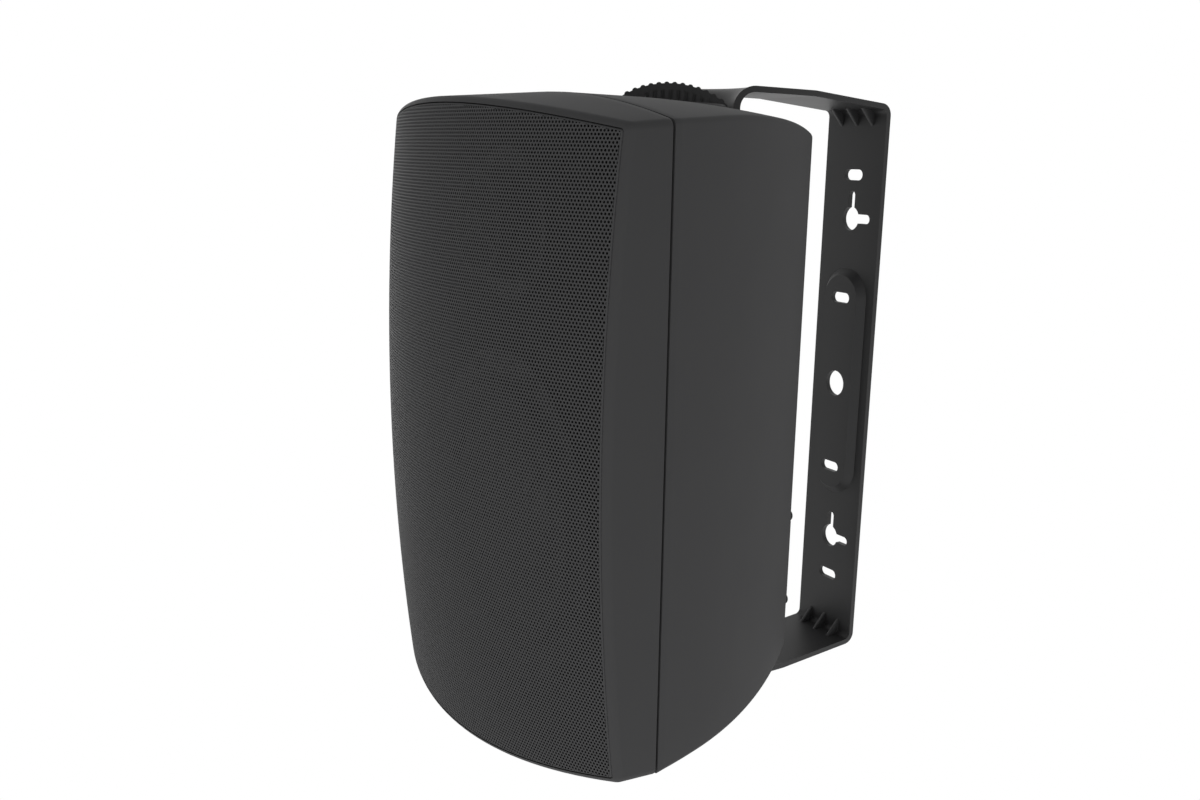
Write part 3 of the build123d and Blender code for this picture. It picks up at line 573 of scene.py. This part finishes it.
def buildPerforation(name, side, level):
    sideFit, topFit = outlineFits()
    values = {
        "Pitch": grilleShape["pitch"], "Hole width": grilleShape["holeWidth"], "Sheet": grilleShape["sheet"],
        "Front radius": grilleRadius, "Bulge": frontShape["bulge"], "Axis": frontAxisY,
        "Columns": grilleShape["columns"], "Rows": grilleShape["rows"], "Side": side, "Level": level,
        "Side edge": float(sideFit[1]), "Side bend": float(sideFit[0]),
        "Top edge": float(topFit[2]), "Top bend": float(topFit[1]), "Top curl": float(topFit[0]),
        "Finish": finishes["grille_steel"],
    }
    tree, wires = nodeGroup("perforatedFront", values)
    net = Wire(tree)
    cell = holedCell(net, wires)

    # staggered rows over the unrolled front
    rowStep = wires["Pitch"] * (math.sqrt(3) / 2)
    grid = net.node("GeometryNodeMeshGrid", None, {
        "Size X": wires["Pitch"] * (wires["Columns"] - 1), "Size Y": rowStep * (wires["Rows"] - 1),
        "Vertices X": wires["Columns"], "Vertices Y": wires["Rows"]})
    across = net.node("ShaderNodeSeparateXYZ", None, {0: net.node("GeometryNodeInputPosition")})
    up, down = across.beside(1), across.beside(2)
    odd = net.sums("MODULO", net.sums("ABSOLUTE", net.sums("ROUND", up / rowStep)), 2.0)
    shift = net.node("ShaderNodeCombineXYZ", None, {0: odd * wires["Pitch"] / 2})
    grid = net.node("GeometryNodeSetPosition", None, {"Geometry": grid, "Offset": shift})

    # kept inside the field's edges and in one quarter
    square = across * across
    sideEdge = wires["Side edge"] + wires["Side bend"] * up * up
    topEdge = wires["Top edge"] + wires["Top bend"] * square + wires["Top curl"] * square * square
    spill = grilleShape["spill"] * wires["Pitch"]
    outside = net.sums("GREATER_THAN", net.sums("ABSOLUTE", across), sideEdge + spill)
    tests = [net.sums("GREATER_THAN", net.sums("ABSOLUTE", up), topEdge + spill)]
    for place, keep in ((across, wires["Side"]), (up, wires["Level"])):
        tests.append(net.sums("LESS_THAN", place * keep, grilleShape["splitAt"] * keep))
    for test in tests:
        outside = net.sums("MAXIMUM", outside, test)
    grid = net.node("GeometryNodeDeleteGeometry", {"domain": "POINT"}, {
        "Geometry": grid, "Selection": outside})
    cells = net.node("GeometryNodeInstanceOnPoints", None, {"Points": grid, "Instance": cell})
    cells = net.node("GeometryNodeRealizeInstances", None, {"Geometry": cells})

    # drawn in at the edges, then rolled onto the front
    across = net.sums("MINIMUM", net.sums("MAXIMUM", across, -sideEdge), sideEdge)
    up = net.sums("MINIMUM", net.sums("MAXIMUM", up, -topEdge), topEdge)
    rise = wires["Bulge"] - net.sums("SQRT", wires["Bulge"] * wires["Bulge"] - up * up)
    reach = wires["Front radius"] - rise + down
    turn = across / wires["Front radius"]
    x = reach * net.sums("SINE", turn)
    y = wires["Axis"] - reach * net.sums("COSINE", turn)
    rolled = net.node("ShaderNodeCombineXYZ", None, {0: x * mm, 1: y * mm, 2: up * mm})
    cells = net.node("GeometryNodeSetPosition", None, {"Geometry": cells, "Position": rolled})
    cells = net.node("GeometryNodeMergeByDistance", None, {
        "Geometry": cells, "Distance": grilleShape["weld"] * mm})
    return runGroup(name, cells, wires, values)


def buildGrilleEdge():
    # the folded edge and turned-back lip round the perforated field
    inset, recess, fold = (grilleShape[key] for key in ("inset", "recess", "fold"))
    inside = inset + grilleShape["lipSheet"]
    lipEnd = recess + grilleShape["lip"]
    rows = [frontRing(inside, recess + grilleShape["lipStart"]), frontRing(inside, lipEnd),
            frontRing(inset, lipEnd)]
    for turn in quarterTurns(grilleShape["foldRows"])[::-1]:
        rows.append(frontRing(inset + fold * (1 - math.sin(turn)), recess + fold * (1 - math.cos(turn))))
    return ringSkin("grilleEdge", rows)


fields = [dress(buildPerforation(*quarter), "front_grille") for quarter in grilleShape["quarters"]]
dress(buildGrilleEdge(), "front_grille")
print("grille built:", [len(field.data.polygons) for field in fields])

folds = {
    "sheet": 3.0, "corner": 159.0, "armRise": 4.5, "armRun": 55.0,  # the arm rises, then runs level
    "bend": 3.5, "bendRows": 8, "roomHalf": 18.0, "roomDepth": 24.0, "roomGap": 0.01,
    "webs": 3, "webSpacing": 12.4, "webLeg": 9.0, "webThick": 2.0, "webSunk": 0.3,
    "webEdge": 0.5, "webEdgeRows": 3, "webEdgeRound": 0.5, "webCrispAngle": 25,
    "flat": 1e-6,  # metres by which an edge may leave the web's flat face
}
armSlope = folds["armRise"] / folds["armRun"]


def prism(name, profile, low, high):
    # a closed profile of Y and Z places, carried along X
    count = len(profile)
    verts = [Vector((x, y, z)) * mm for x in (low, high) for y, z in profile]
    faces = [tuple(range(count)), tuple(range(count, 2 * count))]
    faces += [(i, (i + 1) % count, (i + 1) % count + count, i + count) for i in range(count)]
    made = meshObject(name, verts, faces)
    with editing(made) as shape:
        bmesh.ops.recalc_face_normals(shape, faces=shape.faces)
    return made


def foldProfile(reach, gap):
    # the inside of the upper fold, a gap away from the sheet: up the plate, round the bend, along the arm
    sheet, bend = folds["sheet"], folds["bend"]
    lean = math.atan(armSlope)
    armAt = folds["corner"] - sheet / math.cos(lean) - gap
    plateAt = -sheet - gap
    centreY = plateAt - bend
    centreZ = armAt - armSlope * centreY - bend / math.cos(lean)
    turns = [(math.pi / 2 - lean) * i / folds["bendRows"] for i in range(folds["bendRows"] + 1)]
    arc = [arcPoint((centreY, centreZ), bend, turn) for turn in turns]
    return [(plateAt, armAt - reach), *arc, (plateAt - reach, armAt + armSlope * (sheet + reach))]


def buildBracket():
    # the CAD bracket with the round ribs of its folds cleared, so that the thin webs take their place
    made = softCopy("bracket")
    profile = foldProfile(folds["roomDepth"], folds["roomGap"])
    profile.append((profile[-1][0], profile[0][1]))
    for side in (1, -1):
        room = [(y, side * z) for y, z in profile]
        cut(made, prism("foldRoom", room, -folds["roomHalf"], folds["roomHalf"]))
    softShade(made)
    return made


def buildWeb():
    # one thin web across the upper fold, with its two long edges softened
    half = folds["webThick"] / 2
    web = prism("web", foldProfile(folds["webLeg"], -folds["webSunk"]), -half, half)
    with editing(web) as shape:
        flatEdges = [e for e in shape.edges if abs(e.verts[0].co.x - e.verts[1].co.x) < folds["flat"]]
        longEdges = sorted(flatEdges, key=lambda e: -e.calc_length())[:2]
        bmesh.ops.bevel(shape, geom=longEdges, offset=folds["webEdge"] * mm, segments=folds["webEdgeRows"],
                        profile=folds["webEdgeRound"], affect="EDGES")
    return web


def buildWebs():
    # the webs of the upper fold in a row, and their mirror image in the lower fold
    web = buildWeb()
    values = {"Web": web, "Webs": folds["webs"], "Spacing": folds["webSpacing"] * mm,
              "Finish": finishes["bracket_steel"]}
    tree, wires = nodeGroup("foldWebs", values)
    net = Wire(tree)
    one = net.node("GeometryNodeObjectInfo", None, {"Object": wires["Web"]}, "Geometry")
    start = net.node("ShaderNodeCombineXYZ", None, {0: wires["Spacing"] * (1 - wires["Webs"]) / 2})
    step = net.node("ShaderNodeCombineXYZ", None, {0: wires["Spacing"]})
    line = net.node("GeometryNodeMeshLine", None, {
        "Count": wires["Webs"], "Start Location": start, "Offset": step})
    upper = net.node("GeometryNodeInstanceOnPoints", None, {"Points": line, "Instance": one})
    upper = net.node("GeometryNodeRealizeInstances", None, {"Geometry": upper})
    lower = net.node("GeometryNodeTransform", None, {"Geometry": upper, "Scale": (1, 1, -1)})
    lower = net.node("GeometryNodeFlipFaces", None, {"Mesh": lower})
    both = net.node("GeometryNodeJoinGeometry")
    for row in (upper, lower):
        row.into(both.socket.node.inputs[0])
    made = runGroup("foldWebs", both, wires, values)
    bpy.data.objects.remove(web)
    softShade(made, folds["webCrispAngle"])
    return dress(made, "bracket")


rebuilt = ("rear_housing", "front_bezel", "front_grille", "bracket")
for nodeName in frame["nodes"]:
    if nodeName not in rebuilt:
        softCopy(nodeName)
print("other pieces shaded")
buildBracket()
buildWebs()
print("bracket and its webs built")

view = {"place": (0.4875, -0.4589, 0.1254), "turn": 55.523, "tilt": 14.173, "roll": 1.684,
        "lens": 33.574, "sensor": 36.0, "shift": (-0.05915, 0.03685), "nearest": 0.01}


def aimCamera():
    turn, tilt, roll = (math.radians(view[key]) for key in ("turn", "tilt", "roll"))
    ahead = Vector((-math.sin(turn) * math.cos(tilt), math.cos(turn) * math.cos(tilt), -math.sin(tilt)))
    right = Vector((math.cos(turn), math.sin(turn), 0))
    up = right.cross(ahead)
    right, up = math.cos(roll) * right + math.sin(roll) * up, math.cos(roll) * up - math.sin(roll) * right
    lensData = bpy.data.cameras.new("camera")
    lensData.lens, lensData.sensor_width, lensData.clip_start = view["lens"], view["sensor"], view["nearest"]
    lensData.shift_x, lensData.shift_y = view["shift"]
    camera = bpy.data.objects.new("camera", lensData)
    scene.collection.objects.link(camera)
    turned = Matrix((right, up, -ahead)).transposed().to_4x4()
    turned.translation = Vector(view["place"])
    camera.matrix_world = turned
    scene.camera = camera


studio = {
    "floorZ": -1.15, "floorSize": 8.0, "floorColour": (0.9, 0.9, 0.9, 1), "floorRoughness": 0.9,
    "white": (1, 1, 1, 1), "world": 0.40, "aim": (0, -0.15, 0),
    "lamps": (  # name, place, size, watts
        ("lowSoftbox", (0.5, -0.6, -0.44), 1.6, 7.5),
        ("lowLeftSoftbox", (-0.8, -0.7, -0.6), 1.6, 2.5),
        ("leftSoftbox", (-1.4, 0.0, 0.0), 1.0, 5.0),
        ("frontSoftbox", (-0.9, -1.7, 0.5), 1.4, 0.7),
        ("backSoftbox", (1.1, 0.5, -0.8), 1.4, 5.0),
    ),
}


def seenRays(net):
    # 1 where the white surroundings are looked at, straight or by reflection, and 0 where they give light
    straight = net.node("ShaderNodeLightPath", output="Is Camera Ray")
    others = net.sums("MAXIMUM", straight.beside("Is Glossy Ray"), straight.beside("Is Transmission Ray"))
    return net.sums("MAXIMUM", straight, others)


def layFloor():
    size, low = studio["floorSize"], studio["floorZ"]
    corners = [(-size, -size, low), (size, -size, low), (size, size, low), (-size, size, low)]
    floor = meshObject("floor", corners, [(0, 1, 2, 3)])
    pale = bpy.data.materials.new("paleFloor")
    pale.use_nodes = True
    net = Wire(pale.node_tree)
    shader = pale.node_tree.nodes["Principled BSDF"]
    shader.inputs["Base Color"].default_value = studio["floorColour"]
    shader.inputs["Roughness"].default_value = studio["floorRoughness"]
    white = net.node("ShaderNodeEmission", None, {"Color": studio["white"], "Strength": 1.0})
    mixed = net.node("ShaderNodeMixShader", None, {
        0: seenRays(net), 1: Wire(pale.node_tree, shader.outputs[0]), 2: white})
    mixed.into(pale.node_tree.nodes["Material Output"].inputs["Surface"])
    floor.data.materials.append(pale)


def lightSurroundings():
    world = bpy.data.worlds.new("studioWorld")
    scene.world = world
    world.use_nodes = True
    background = world.node_tree.nodes["Background"]
    background.inputs["Color"].default_value = studio["white"]
    strength = studio["world"] + (1 - studio["world"]) * seenRays(Wire(world.node_tree))
    strength.into(background.inputs["Strength"])


def hangLamps():
    for name, place, width, watts in studio["lamps"]:
        lamp = bpy.data.lights.new(name, "AREA")
        lamp.shape, lamp.size, lamp.energy = "SQUARE", width, watts
        holder = bpy.data.objects.new(name, lamp)
        scene.collection.objects.link(holder)
        holder.location = place
        holder.visible_camera = False
        aim = Vector(studio["aim"]) - Vector(place)
        holder.rotation_euler = aim.to_track_quat("-Z", "Y").to_euler()


aimCamera()
layFloor()
lightSurroundings()
hangLamps()
print("camera and studio set")
